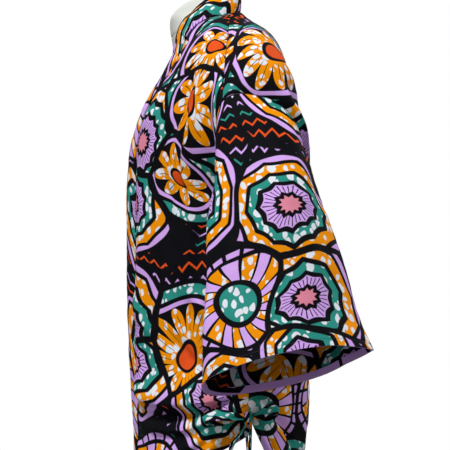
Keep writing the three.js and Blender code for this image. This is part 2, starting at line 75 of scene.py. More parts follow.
def readTable(rows, key, column, value):  # smooth value between rows, flat past both ends
    keys = np.array([row[key] for row in rows], float)
    vals = np.array([row[column] for row in rows], float)
    value = np.clip(np.asarray(value, float), keys[0], keys[-1])
    i = np.clip(np.searchsorted(keys, value, side="right") - 1, 0, len(keys) - 2)
    before = np.maximum(np.arange(len(keys)) - 1, 0)
    after = np.minimum(np.arange(len(keys)) + 1, len(keys) - 1)
    slope = (vals[after] - vals[before]) / (keys[after] - keys[before])
    span = keys[i + 1] - keys[i]
    return hermite(vals[i], slope[i] * span, vals[i + 1], slope[i + 1] * span, (value - keys[i]) / span)


def unit(v):
    return v / np.maximum(np.linalg.norm(v, axis=-1, keepdims=True), 1e-9)


formRows = table("drop wide front back middle square",
    (-38, 12, -14, 6, -4, 2), (-35, 24, -19, 16, -6, 2), (-29, 35, -25, 22, -8, 2),
    (-23, 42, -33, 25, -10, 2), (-16, 47, -46, 27, -12, 2), (-8, 50, -57, 29, -13, 2),
    (2, 54, -66, 32, -12, 2), (8, 62, -69, 35, -6, 1.95), (14, 77, -70, 39, 4, 1.8),
    (22, 97, -70, 46, 12, 1.65), (32, 119, -69, 57, 18, 1.6), (44, 140, -67, 70, 20, 1.6),
    (58, 158, -65, 83, 20, 1.65), (76, 173, -66, 96, 18, 1.7), (98, 182, -70, 106, 16, 1.8),
    (128, 186, -79, 113, 14, 1.9), (165, 184, -91, 117, 12, 2), (212, 177, -106, 117, 8, 2.05),
    (262, 167, -114, 113, 4, 2.1), (312, 150, -108, 105, 3, 2.1), (390, 124, -84, 93, 6, 2.1),
    (470, 146, -90, 108, 8, 2.1), (545, 166, -98, 124, 10, 2.2), (600, 168, -97, 126, 10, 2.2),
    (620, 165, -94, 123, 10, 2.2), (630, 157, -86, 115, 10, 2.2))


def formAt(drop):  # the form's measures at this drop
    return {k: readTable(formRows, "drop", k, drop) for k in ("wide", "front", "back", "middle", "square")}


def formRatio(p):  # 1 on the form, more outside it
    s = formAt(neckHeight - p[..., 2])
    depth = np.where(p[..., 1] > s["middle"], s["back"] - s["middle"], s["middle"] - s["front"])
    across, along = np.abs(p[..., 0]) / s["wide"], np.abs(p[..., 1] - s["middle"]) / depth
    return (across ** s["square"] + along ** s["square"]) ** (1 / s["square"])


push = {"tries": 14, "probe": 0.5, "enough": 0.02, "share": 0.8, "longest": 12}


def clearOfForm(p, clear):  # moves what is nearer to the form than this outward
    p = np.array(p, float)
    highest, lowest = neckHeight - formRows[0]["drop"], neckHeight - formRows[-1]["drop"]
    for _ in range(push["tries"]):
        onHeight = (p[..., 2] < highest) & (p[..., 2] > lowest)
        slope = np.zeros_like(p)
        for axis in range(3):
            step = np.zeros(3)
            step[axis] = push["probe"]
            slope[..., axis] = formRatio(p + step) - formRatio(p - step)
        steep = np.maximum(np.linalg.norm(slope, axis=-1), 1e-9)
        short = clear - (formRatio(p) - 1) / steep
        wanted = push["share"] * np.minimum(short, push["longest"])
        move = np.where(onHeight & (short > push["enough"]), wanted, 0)
        p = p + slope / steep[..., None] * move[..., None]
    return p


armhole = {"centre": at(220, 75, 235), "tall": 90, "wide": 66, "square": 2.7,
           "up": unit(np.array([0.42, -0.11, 0.9])), "back": unit(np.array([0.02, 0.98, -0.18]))}
cuff = {"centre": at(340, 110, 555), "tall": 67, "wide": 128, "square": 2.1, "backPress": 0.78,
        "up": unit(np.array([0.892, 0, 0.452])), "back": unit(np.array([0, 0.976, 0.218]))}
shoulderAngle = -45.0
neckShare = 0.24  # of the back's top edge, half of it
neckSquare = 2.6
neckPoint = at(76, 29, 10)
spineTop = at(0, 45, -3)


def loopPoint(loop, degrees):
    a = np.radians(np.asarray(degrees, float))
    c, s, n = np.cos(a), np.sin(a), loop["square"]
    reach = (np.abs(c) ** n + np.abs(s) ** n) ** (-1 / n)
    pressed = 1 - loop.get("backPress", 0) * np.maximum(s, 0) ** 2.7  # flatter towards the back fold
    up = np.multiply.outer(loop["tall"] * reach * c * pressed, loop["up"])
    backward = np.multiply.outer(loop["wide"] * reach * s, loop["back"])
    return loop["centre"] + up + backward


def shoulderSeam(t):
    t = np.asarray(t, float)[..., None]
    leave, arrive = np.array([282, -4, -102.0]), np.array([112, -6, -215.0])
    return hermite(neckPoint, leave, loopPoint(armhole, shoulderAngle), arrive, t)


def quarter(start, end, square, late, u):  # a squarish quarter turn; a high late keeps it level at first
    a = u * math.pi / 2
    reach = (np.abs(np.cos(a)) ** square + np.abs(np.sin(a)) ** square) ** (-1 / square)
    return np.stack([mix(start[0], end[0], reach * np.sin(a)), mix(end[1], start[1], reach * np.cos(a)),
                     mix(start[2], end[2], np.maximum(u, 0) ** late)], -1)


frontSideRows = table("drop x y",
    (316, 182, 85), (350, 181, 80), (400, 181, 74), (480, 184, 65), (570, 191, 58), (634, 197, 57),
    (668, 195, 61))
backSideRows = frontSideRows[:-1] + table("drop x y", (650, 196, 62), (700, 191, 84), (756, 178, 103))
frontRows = table("v x y drop angle side square late",
    (0.05, 93, -3, 23, -58, None, 1.6, 1.6), (0.11, 93, -38, 58, -74, None, 1.55, 1.5),
    (0.18, 88, -75, 117, -100, None, 1.55, 1.3), (0.25, 80, -104, 165, -126, None, 1.6, 1.1),
    (0.32, 73, -119, 215, -152, None, 1.65, 1), (0.4, 70, -122, 272, -180, None, 1.7, 1),
    (0.5, 70, -121, 355, None, 385, 1.8, 1), (0.63, 70, -122, 462, None, 480, 1.85, 1),
    (0.78, 70, -120, 590, None, 570, 1.9, 1), (0.9, 70, -115, 690, None, 634, 1.9, 1.3),
    (1, 70, -111, 768, None, 667, 1.9, 1.7))
backRows = table("v x y drop angle side square late",
    (0.04, 0, 74, 26, -15, None, 2.6, 2.3), (0.09, 0, 102, 52, 20, None, 2.8, 2),
    (0.14, 0, 119, 88, 50, None, 3, 1.7), (0.2, 0, 129, 130, 82, None, 3, 1.3),
    (0.26, 0, 136, 180, 115, None, 3, 1.1), (0.33, 0, 141, 235, 148, None, 2.8, 1),
    (0.41, 0, 143, 300, 180, None, 2.6, 1), (0.51, 0, 144, 382, None, 385, 2.3, 1),
    (0.64, 0, 147, 480, None, 480, 2.2, 1), (0.77, 0, 153, 580, None, 570, 2.2, 1),
    (0.86, 0, 156, 648, None, 640, 2.1, 1), (0.93, 0, 145, 714, None, 700, 2.1, 1),
    (1, 0, 120, 782, None, 756, 2.2, 1))


def outerEdge(rows, sideRows, v):
    onArm = [{"v": 0, "angle": shoulderAngle}] + [r for r in rows if r["angle"] is not None]
    under = onArm[-1]["v"]
    onSide = [{"v": under, "side": sideRows[0]["drop"]}] + [r for r in rows if r["side"] is not None]
    drop = readTable(onSide, "v", "side", v)
    x, y = (readTable(sideRows, "drop", k, drop) for k in ("x", "y"))
    side = np.stack([x, y, neckHeight - drop], -1)
    return np.where((v <= under)[..., None], loopPoint(armhole, readTable(onArm, "v", "angle", v)), side)


def panelPoints(top, rows, sideRows, u, v):  # grid of points, v down and u out from the middle
    places = np.array([0] + [r["v"] for r in rows], float)
    edges = outerEdge(rows, sideRows, places[1:])
    curves = [top(u)]
    for r, edge in zip(rows, edges):
        curves.append(quarter(at(r["x"], r["y"], r["drop"]), edge, r["square"], r["late"], u))
    curves = np.array(curves)
    last = len(places) - 1
    i = np.clip(np.searchsorted(places, v, side="right") - 1, 0, last - 1)
    a, b, c, d = (np.clip(i + k, 0, last) for k in (-1, 0, 1, 2))
    span = (places[c] - places[b])[:, None, None]
    t = ((v - places[b]) / (places[c] - places[b]))[:, None, None]
    leave = (curves[c] - curves[a]) / (places[c] - places[a])[:, None, None] * span
    arrive = (curves[d] - curves[b]) / (places[d] - places[b])[:, None, None] * span
    p = hermite(curves[b], leave, curves[c], arrive, t)
    miss = outerEdge(rows, sideRows, v) - p[:, -1]
    return p + miss[:, None, :] * (u ** 3)[None, :, None]


def backTop(u):
    a = np.clip(u / neckShare, 0, 1) * math.pi / 2
    reach = (np.cos(a) ** neckSquare + np.abs(np.sin(a)) ** neckSquare) ** (-1 / neckSquare)
    neck = np.stack([neckPoint[0] * reach * np.sin(a), mix(neckPoint[1], spineTop[1], reach * np.cos(a)),
                     mix(spineTop[2], neckPoint[2], ease(u / neckShare))], -1)
    return np.where((u > neckShare)[:, None], shoulderSeam((u - neckShare) / (1 - neckShare)), neck)


def lengths(p, axis):  # running length along one way of the grid
    step = np.linalg.norm(np.diff(p, axis=axis), axis=-1)
    zero = np.zeros_like(np.take(step, [0], axis))
    return np.concatenate([zero, np.cumsum(step, axis)], axis)


def flatPlan(p, row=None):  # the panel laid flat: x across from its first column, y down, both in mm
    across, down = lengths(p, 1), lengths(p, 0)
    row = p.shape[0] // 2 if row is None else row
    middle = p.shape[1] // 2
    down = down - down[row][None, :] + down[row, middle]
    return np.stack([across, down], -1)


def gridNormals(p, looped=False):
    if looped:
        du = np.roll(p, -1, 1) - np.roll(p, 1, 1)
    else:
        du = np.gradient(p, axis=1)
    dv = np.gradient(p, axis=0)
    return unit(np.cross(dv, du))


def pick(plan, u, v):  # flat place of a station of the grid
    n, m = plan.shape[:2]
    y, x = v * (n - 1), u * (m - 1)
    i, j = int(np.clip(y, 0, n - 2)), int(np.clip(x, 0, m - 2))
    a, b = mix(plan[i, j], plan[i, j + 1], x - j), mix(plan[i + 1, j], plan[i + 1, j + 1], x - j)
    return mix(a, b, y - i)


foldEnds = {"start": (0.08, 0.3), "end": (1.12, 0.34)}  # how far a fold runs on, and over what share it fades


def crease(plan, folds, strong=1):  # height of all the folds at each flat point
    rise = np.zeros(plan.shape[:2])
    for u0, v0, u1, v1, bow, left, right, high in folds:
        start, end = pick(plan, u0, v0), pick(plan, u1, v1)
        line = end - start
        long = np.linalg.norm(line)
        way, side = line / long, np.array([-line[1], line[0]]) / long
        rel = plan - start
        along = rel @ way / long
        inside = np.clip(along, 0, 1)
        aside = rel @ side - bow * 4 * inside * (1 - inside)
        wide = np.where(aside < 0, left, right)
        fadeIn = ease((along + foldEnds["start"][0]) / foldEnds["start"][1])
        fadeOut = ease((foldEnds["end"][0] - along) / foldEnds["end"][1])
        rise += high * np.exp(-(aside / wide) ** 2) * fadeIn * fadeOut
    return rise * strong


def ripple(plan, seed, high, longest=230):  # slow unevenness of the whole cloth
    rng = np.random.default_rng(seed)
    rise = np.zeros(plan.shape[:2])
    for k in range(16):
        a = rng.uniform(0, math.pi)
        wave = longest * 0.82 ** k
        turn = (plan @ np.array([math.cos(a), math.sin(a)])) / wave * 2 * math.pi + rng.uniform(0, 6.3)
        rise += np.sin(turn) * high * 0.86 ** k / 2.4
    return rise


def intoSeam(rise, away, fade, least, deep):  # folds fade towards a seam, and the cloth sinks into it
    return rise * ease(away / fade + least) - deep * np.exp(-(away / seamWide) ** 2)


def dress(p, plan, folds, seed, strong):  # a panel sewn along its top and both sides
    rise = crease(plan, folds, strong) + ripple(plan, seed, clothRipple)
    fromTop = plan[..., 1] - plan[:1, :, 1]
    fromFirst, fromLast = plan[..., 0] - plan[:, :1, 0], plan[:, -1:, 0] - plan[..., 0]
    for away in (fromTop, fromFirst, fromLast):
        rise = intoSeam(rise, away, 16, 0.15, 1.0)
    return p + gridNormals(p) * rise[..., None]


def addPiece(name, verts, faces, material, nodes=(), uv=None, sharp=None):
    mesh = bpy.data.meshes.new(name)
    mesh.from_pydata(verts, [], faces)
    if uv is not None:
        mesh.uv_layers.new(name="Cut").data.foreach_set("uv", uv.reshape(-1))
    mesh.shade_smooth()
    if sharp:
        mesh.set_sharp_from_angle(angle=math.radians(sharp))
    mesh.materials.append(material)
    obj = bpy.data.objects.new(name, mesh)
    bpy.context.scene.collection.objects.link(obj)
    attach(obj, "root")
    if nodes:
        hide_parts(*nodes)
    return obj


# closed thin cloth from a grid of points, with its flat plan as UV in metres
def shell(name, p, plan, material, thick, looped=False, nodes=()):
    n, m = p.shape[:2]
    p = p / 1000
    normal = gridNormals(p, looped)
    outer, inner = p + normal * thick / 2000, p - normal * thick / 2000
    verts = np.concatenate([outer.reshape(-1, 3), inner.reshape(-1, 3)])
    count = n * m
    cols = m if looped else m - 1
    i, j = np.meshgrid(np.arange(n - 1), np.arange(cols), indexing="ij")
    k = (j + 1) % m
    a, b, c, d = i * m + j, i * m + k, (i + 1) * m + k, (i + 1) * m + j
    out = np.stack([a, d, c, b], -1).reshape(-1, 4)
    back = np.stack([a, b, c, d], -1).reshape(-1, 4) + count
    rims = []

    def rim(first, second):
        rims.append(np.stack([first, second, second + count, first + count], -1))
    j0 = np.arange(cols)
    j1 = (j0 + 1) % m
    rim(j0, j1)
    rim((n - 1) * m + j1, (n - 1) * m + j0)
    if not looped:
        i0 = np.arange(n - 1)
        rim((i0 + 1) * m, i0 * m)
        rim(i0 * m + m - 1, (i0 + 1) * m + m - 1)
    faces = np.concatenate([out, back, *rims])
    flat = plan / 1000
    if looped:  # the plan has one more column than the points
        a, b, c, d = flat[i, j], flat[i, j + 1], flat[i + 1, j + 1], flat[i + 1, j]
        uvOut, uvBack = (np.stack(ring, 2).reshape(-1, 4, 2) for ring in ((a, d, c, b), (a, b, c, d)))
    else:
        grid = flat.reshape(-1, 2)
        uvOut, uvBack = grid[out], grid[back - count]
    corner = np.concatenate([flat[:, :m].reshape(-1, 2)] * 2)
    uv = np.concatenate([uvOut, uvBack, corner[np.concatenate(rims)]])
    return addPiece(name, verts.tolist(), faces.tolist(), material, nodes, uv, sharp=50)


def mirror(p):
    return p * np.array([-1, 1, 1])


def forSide(side, p, plan):  # the right side is a mirrored grid whose columns run the other way
    return (p, plan) if side > 0 else (mirror(p)[:, ::-1], plan[:, ::-1])


def srgb(*c):
    return tuple(v / 255 / 12.92 if v <= 10 else ((v / 255 + 0.055) / 1.055) ** 2.4 for v in c) + (1,)


class Tree:  # short way of wiring nodes
    def __init__(self, tree):
        self.tree = tree

    def node(self, kind, **settings):
        n = self.tree.nodes.new(kind)
        for key, value in settings.items():
            setattr(n, key, value)
        return n

    def put(self, socket, value):
        if hasattr(value, "is_linked") or hasattr(value, "links"):
            self.tree.links.new(value, socket)
        else:
            socket.default_value = value

    def maths(self, op, a, b=0.0, c=None):
        n = self.node("ShaderNodeMath", operation=op)
        for k, value in enumerate((a, b) if c is None else (a, b, c)):
            self.put(n.inputs[k], value)
        return n.outputs[0]

    def vector(self, op, a, b=(0, 0, 0), scale=None):
        n = self.node("ShaderNodeVectorMath", operation=op)
        self.put(n.inputs[0], a)
        if scale is None:
            self.put(n.inputs[1], b)
        else:
            self.put(n.inputs["Scale"], scale)
        return n.outputs["Value"] if op in ("DOT_PRODUCT", "LENGTH") else n.outputs[0]

    def band(self, value, low, high):
        n = self.node("ShaderNodeMapRange", interpolation_type="SMOOTHSTEP")
        for k, v in enumerate((value, low, high, 0.0, 1.0)):
            self.put(n.inputs[k], v)
        return n.outputs[0]

    def blend(self, factor, a, b):
        n = self.node("ShaderNodeMix", data_type="RGBA", clamp_factor=True)
        self.put(n.inputs[0], factor)
        self.put(n.inputs[6], a)
        self.put(n.inputs[7], b)
        return n.outputs[2]

    def noise(self, vector, scale, detail=0.0, rough=0.5, dimensions="2D"):
        n = self.node("ShaderNodeTexNoise", noise_dimensions=dimensions)
        self.put(n.inputs["Vector"], vector)
        self.put(n.inputs["Scale"], scale)
        self.put(n.inputs["Detail"], detail)
        self.put(n.inputs["Roughness"], rough)
        return n

    def cells(self, vector, scale, feature, random):
        n = self.node("ShaderNodeTexVoronoi", voronoi_dimensions="2D", feature=feature)
        self.put(n.inputs["Vector"], vector)
        self.put(n.inputs["Scale"], scale)
        self.put(n.inputs["Randomness"], random)
        return n


def newGroup(name, inputs, outputs):
    group = bpy.data.node_groups.new(name, "ShaderNodeTree")
    for label, kind in inputs:
        group.interface.new_socket(label, in_out="INPUT", socket_type=kind)
    for label, kind in outputs:
        group.interface.new_socket(label, in_out="OUTPUT", socket_type=kind)
    t = Tree(group)
    return group, t, t.node("NodeGroupInput"), t.node("NodeGroupOutput")


inks = {"lilac": srgb(222, 176, 250), "gold": srgb(252, 154, 2), "teal": srgb(46, 150, 138),
        "white": srgb(238, 243, 252), "night": srgb(9, 13, 20), "rust": srgb(232, 86, 30),
        "rose": srgb(232, 142, 165)}
# rings stand at shares of a motif's reach, those with a dark line as (where, half the line's width)
waxDesign = {"motifs": 6.4, "stray": 0.85, "size": 0.45, "rosettes": 0.40, "discs": 0.72, "soft": 0.012,
             "bubbles": 74.0, "zigzag": 46.0, "rows": 54.0}
rosetteDesign = {"petals": (0.42, 0.26), "midrib": (0.30, 0.56), "heart": 0.1825, "heartEdge": 0.2425,
                 "lilac": 0.695, "teal": 0.795, "line": (0.80, 0.030)}
discDesign = {"scallop": 0.05, "ticks": (0.24, 0.38),
              "rings": ((0.205, 0.034), (0.445, 0.038), (0.665, 0.036), (0.905, 0.028))}
burstDesign = {"ticks": 0.875, "rings": ((0.355, 0.045), (0.845, 0.035))}


def makeWaxPrint():  # scattered rosettes, ringed discs and sunbursts on a dark ground of zigzag rows
    group, t, gin, gout = newGroup("WaxPrint", [("Cut", "NodeSocketVector"), ("Shift", "NodeSocketVector")],
                                   [("Color", "NodeSocketColor"), ("Ink", "NodeSocketFloat"),
                                    ("Vein", "NodeSocketFloat")])
    soft = waxDesign["soft"]

    def within(value, low, high):
        over, under = t.band(value, low - soft, low + soft), t.band(value, high + soft, high - soft)
        return t.maths("MULTIPLY", over, under)

    def outward(color, value, ring, ink):  # another ink from this ring outward
        return t.blend(t.band(value, ring - 0.005, ring + 0.005), color, ink)

    def inward(color, value, ring, ink, half=0.005):
        return t.blend(t.band(value, ring + half, ring - half), color, ink)

    def lineAt(value, where, half):
        return t.band(t.maths("ABSOLUTE", t.maths("SUBTRACT", value, where)), half + soft, half)

    place = t.vector("ADD", gin.outputs["Cut"], gin.outputs["Shift"])
    # drawn by hand, so that no line is quite true
    drift = t.vector("SUBTRACT", t.noise(place, 7.0, 1.0).outputs["Color"], (0.5, 0.5, 0.5))
    wavy = t.vector("ADD", place, t.vector("SCALE", drift, scale=0.055))
    shiver = t.vector("SUBTRACT", t.noise(place, 60.0, 1.0).outputs["Color"], (0.5, 0.5, 0.5))
    rough = t.vector("ADD", place, t.vector("SCALE", shiver, scale=0.008))

    # wax bubbles: white blots of many sizes, here and there run together
    longer = t.vector("MULTIPLY", rough, (1.0, 0.8, 1.0))
    blots = t.cells(longer, waxDesign["bubbles"], "SMOOTH_F1", 0.9)
    blots.inputs["Smoothness"].default_value = 0.12
    blotSize = t.node("ShaderNodeSeparateColor")
    t.put(blotSize.inputs[0], blots.outputs["Color"])
    blot = t.maths("MULTIPLY_ADD", blotSize.outputs[0], 0.29, 0.18)
    bubble = t.band(t.maths("SUBTRACT", blot, blots.outputs["Distance"]), -0.02, 0.05)
    gold = t.blend(bubble, inks["gold"], inks["white"])
    teal = t.blend(bubble, inks["teal"], inks["white"])

    # each motif is drawn round its own middle, by turn and reach
    motif = t.cells(wavy, waxDesign["motifs"], "F1", waxDesign["stray"])
    border = t.cells(wavy, waxDesign["motifs"], "DISTANCE_TO_EDGE", waxDesign["stray"]).outputs["Distance"]
    chance = t.node("ShaderNodeSeparateColor")
    t.put(chance.inputs[0], motif.outputs["Color"])
    local = t.node("ShaderNodeSeparateXYZ")
    t.put(local.inputs[0], t.vector("SUBTRACT", wavy, motif.outputs["Position"]))
    compass = t.maths("ARCTAN2", local.outputs[1], local.outputs[0])
    turn = t.maths("ADD", compass, t.maths("MULTIPLY", chance.outputs[2], 6.0))
    full = t.maths("MULTIPLY_ADD", chance.outputs[1], 0.22, waxDesign["size"])
    reach = t.maths("DIVIDE", motif.outputs["Distance"], full)
    petals = t.maths("ROUND", t.maths("MULTIPLY_ADD", chance.outputs[1], 6.0, 7.0))
    half = t.maths("MULTIPLY", turn, t.maths("MULTIPLY", petals, 0.5))
    wave = t.maths("ABSOLUTE", t.maths("SINE", half))
    middle = t.maths("ABSOLUTE", t.maths("COSINE", half))
    ticks = t.band(t.maths("ABSOLUTE", t.maths("SINE", t.maths("MULTIPLY", half, 3.0))), 0.44, 0.32)

    # rosette: gold petals with a midrib and a rust heart, in a lilac and a teal ring
    petal = t.maths("MULTIPLY_ADD", t.maths("POWER", wave, 0.6), *rosetteDesign["petals"])
    tip = t.maths("SUBTRACT", petal, reach)
    rosette = t.blend(t.band(tip, -0.01, 0.01), inks["night"], gold)
    rosette = outward(rosette, reach, rosetteDesign["lilac"], inks["lilac"])
    midrib = t.maths("MULTIPLY", t.band(middle, 0.09, 0.06), within(reach, *rosetteDesign["midrib"]))
    rosette = t.blend(midrib, rosette, inks["night"])
    rosette = outward(rosette, reach, rosetteDesign["teal"], teal)
    rosette = t.blend(lineAt(reach, *rosetteDesign["line"]), rosette, inks["night"])
    rosette = inward(rosette, reach, rosetteDesign["heartEdge"], inks["night"], 0.0075)
    rosette = inward(rosette, reach, rosetteDesign["heart"], inks["rust"], 0.0075)
    # disc: scalloped rings with ticks round a rose heart
    scallop = t.maths("MULTIPLY_ADD", wave, discDesign["scallop"], reach)
    heart, inner, outer, rim = (ring for ring, thick in discDesign["rings"])
    disc = outward(inks["rose"], scallop, heart, inks["lilac"])
    disc = t.blend(t.maths("MULTIPLY", ticks, within(scallop, *discDesign["ticks"])), disc, inks["night"])
    disc = outward(disc, scallop, inner, teal)
    disc = outward(disc, scallop, outer, gold)
    disc = outward(disc, scallop, rim, inks["lilac"])
    for ring, thick in discDesign["rings"]:
        disc = t.blend(lineAt(scallop, ring, thick), disc, inks["night"])
    # sunburst: lilac and gold rays round a teal heart
    rays = t.maths("SINE", t.maths("MULTIPLY", half, 2.0))
    burst = t.blend(t.band(rays, -0.03, 0.03), inks["lilac"], gold)
    burst = t.blend(t.band(t.maths("ABSOLUTE", rays), 0.34, 0.24), burst, inks["night"])
    heart, rim = (ring for ring, thick in burstDesign["rings"])
    burst = inward(burst, reach, heart, teal)
    burst = outward(burst, reach, rim, inks["lilac"])
    edgeTicks = t.band(reach, burstDesign["ticks"] - 0.005, burstDesign["ticks"] + 0.005)
    burst = t.blend(t.maths("MULTIPLY", ticks, edgeTicks), burst, inks["night"])
    for ring, thick in burstDesign["rings"]:
        burst = t.blend(lineAt(reach, ring, thick), burst, inks["night"])
    # rosettes are the most common, then discs, then sunbursts
    rosettes, discs = waxDesign["rosettes"], waxDesign["discs"]
    figure = t.blend(t.band(chance.outputs[0], rosettes, rosettes + 0.002), rosette, disc)
    figure = t.blend(t.band(chance.outputs[0], discs, discs + 0.002), figure, burst)

    # the ground: rows of small zigzags in rust, lilac and teal
    spot = t.node("ShaderNodeSeparateXYZ")
    t.put(spot.inputs[0], wavy)
    zig = t.maths("PINGPONG", t.maths("MULTIPLY", spot.outputs[0], waxDesign["zigzag"]), 0.5)
    row = t.maths("MULTIPLY_ADD", spot.outputs[1], waxDesign["rows"], zig)
    rowLine = t.band(t.maths("ABSOLUTE", t.maths("SUBTRACT", t.maths("FRACT", row), 0.5)), 0.13, 0.08)
    pace = t.maths("MODULO", t.maths("ABSOLUTE", t.maths("FLOOR", row)), 4.0)
    rowInk = t.blend(t.band(pace, 1.4, 1.5), inks["rust"], inks["lilac"])
    rowInk = t.blend(t.band(pace, 2.4, 2.5), rowInk, inks["teal"])
    stop = t.band(t.noise(place, 9.0).outputs["Fac"], 0.42, 0.45)
    ground = t.blend(t.maths("MULTIPLY", rowLine, stop), inks["night"], rowInk)

    inside = t.maths("MULTIPLY", t.band(reach, 1.0, 0.985), t.band(border, 0.026, 0.034))
    clear = t.maths("MULTIPLY", t.band(reach, 1.06, 1.08), t.band(border, 0.03, 0.04))
    color = t.blend(clear, inks["night"], ground)
    color = t.blend(inside, color, figure)
    uneven = t.noise(place, 90.0, 3.0, 0.6).outputs["Fac"]
    color = t.blend(t.maths("MULTIPLY", uneven, 0.04), color, srgb(90, 62, 40))
    t.put(gout.inputs["Color"], color)
    t.put(gout.inputs["Ink"], t.maths("SUBTRACT", 1.0, t.band(border, 0.02, 0.03)))
    t.put(gout.inputs["Vein"], lineAt(scallop, outer, 0.030))
    return group


def makeWeave():
    group, t, gin, gout = newGroup("PlainWeave",
                                   [("Cut", "NodeSocketVector"), ("Threads", "NodeSocketFloat")],
                                   [("Height", "NodeSocketFloat"), ("Slub", "NodeSocketFloat")])
    parts = t.node("ShaderNodeSeparateXYZ")
    t.put(parts.inputs[0], gin.outputs["Cut"])
    warp = t.maths("SINE", t.maths("MULTIPLY", parts.outputs[0], gin.outputs["Threads"]))
    weft = t.maths("SINE", t.maths("MULTIPLY", parts.outputs[1], gin.outputs["Threads"]))
    slub = t.noise(t.vector("MULTIPLY", gin.outputs["Cut"], (1.0, 0.12, 1.0)), 700.0, 2.0).outputs["Fac"]
    t.put(gout.inputs["Height"], t.maths("MULTIPLY_ADD", t.maths("MULTIPLY", warp, weft), 0.5, slub))
    t.put(gout.inputs["Slub"], slub)
    return group


waxPrint, plainWeave = makeWaxPrint(), makeWeave()
weave = {"threads": 8200.0, "bump": 0.10, "deep": 0.0004, "roughness": (0.62, 0.78), "shine": 0.05}


def clothMaterial(name, shift, hemSide=False):
    material = bpy.data.materials.new(name)
    material.use_nodes = True
    t = Tree(material.node_tree)
    shader = material.node_tree.nodes["Principled BSDF"]
    cut = t.node("ShaderNodeUVMap", uv_map="Cut").outputs[0]
    wax = t.node("ShaderNodeGroup", node_tree=waxPrint)
    t.put(wax.inputs["Cut"], cut)
    wax.inputs["Shift"].default_value = shift
    threads = t.node("ShaderNodeGroup", node_tree=plainWeave)
    t.put(threads.inputs["Cut"], cut)
    threads.inputs["Threads"].default_value = weave["threads"]
    color = wax.outputs["Color"]
    if hemSide:  # the cloth's plain border is turned in, so the strips are lilac with dark lines
        lines = t.maths("MAXIMUM", wax.outputs["Ink"], wax.outputs["Vein"])
        color = t.blend(lines, inks["lilac"], inks["night"])
    t.put(shader.inputs["Base Color"], color)
    rough = t.node("ShaderNodeMapRange")
    t.put(rough.inputs[0], threads.outputs["Slub"])
    rough.inputs[3].default_value, rough.inputs[4].default_value = weave["roughness"]
    t.put(shader.inputs["Roughness"], rough.outputs[0])
    shader.inputs["Specular IOR Level"].default_value = weave["shine"]
    bump = t.node("ShaderNodeBump")
    bump.inputs["Strength"].default_value = weave["bump"]
    bump.inputs["Distance"].default_value = weave["deep"]
    t.put(bump.inputs["Height"], threads.outputs["Height"])
    t.put(shader.inputs["Normal"], bump.outputs[0])
    return material


def plainMaterial(name, color, roughness, metallic=0.0, grain=400.0, vary=0.06, stretch=(1, 1, 1)):
    material = bpy.data.materials.new(name)
    material.use_nodes = True
    t = Tree(material.node_tree)
    shader = material.node_tree.nodes["Principled BSDF"]
    place = t.vector("MULTIPLY", t.node("ShaderNodeTexCoord").outputs["Object"], stretch)
    fine = t.noise(place, grain, 3.0, dimensions="3D").outputs["Fac"]
    slow = t.noise(place, 6.0, 2.0, dimensions="3D").outputs["Fac"]
    dark = tuple(c * (1 - 2 * vary) for c in color[:3]) + (1,)
    mottle = t.maths("MULTIPLY_ADD", fine, 0.4, t.maths("MULTIPLY", slow, 0.6))
    t.put(shader.inputs["Base Color"], t.blend(mottle, dark, color))
    t.put(shader.inputs["Roughness"], t.maths("MULTIPLY_ADD", slow, 0.12, roughness - 0.06))
    shader.inputs["Metallic"].default_value = metallic
    bump = t.node("ShaderNodeBump")
    bump.inputs["Strength"].default_value = 0.25
    bump.inputs["Distance"].default_value = 0.0002
    t.put(bump.inputs["Height"], fine)
    t.put(shader.inputs["Normal"], bump.outputs[0])
    return material


print("materials")
# where each piece is cut from the printed length
printPlaces = {"left_front": (23.64, 18.53), "right_front": (12.25, 1.36), "back": (24.15, 24.24),
               "neckband": (6.7, 2.3), "left_sleeve": (7.06, 28.18), "right_sleeve": (26.93, 25.33),
               "tie": (12.6, 5.55), "turned_hem": (14.2, 6.3)}
cloths = {}
for name, (x, y) in printPlaces.items():
    cloths[name] = clothMaterial("print_" + name, (x, y, 0), hemSide=name == "turned_hem")
formWhite = plainMaterial("form_white", srgb(216, 220, 212), 0.5, vary=0.03)
steel = plainMaterial("brushed_steel", srgb(190, 192, 195), 0.34, metallic=1.0, grain=300.0, vary=0.05,
                      stretch=(1, 1, 0.02))
threadDark = plainMaterial("thread", srgb(60, 45, 80), 0.6, grain=2500.0)


